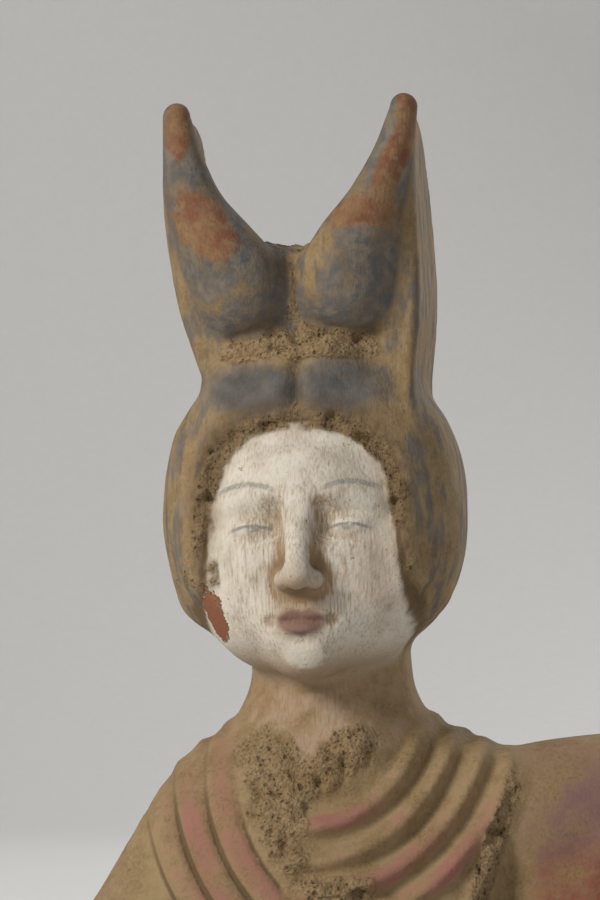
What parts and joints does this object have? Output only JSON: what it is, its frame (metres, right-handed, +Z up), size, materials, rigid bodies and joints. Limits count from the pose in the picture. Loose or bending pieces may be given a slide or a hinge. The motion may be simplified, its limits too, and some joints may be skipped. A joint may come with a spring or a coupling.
{
  "type": "painted pottery tomb figure",
  "caption": "Bust of a painted pottery dancer with a two-winged bun, a folded shawl and a raised sleeve, cut flat below the chest.",
  "frame": {"origin": "on the flat underside, below the middle of the head", "axes": "+Z up, the figure faces -Y, and its raised sleeve is at +X"},
  "size_m": [0.1373, 0.0666, 0.1705],
  "materials": {
    "painted_clay": "matte"
  },
  "bodies": {
    "root": {"tomb_figure": "painted_clay"}
  },
  "joints": []
}
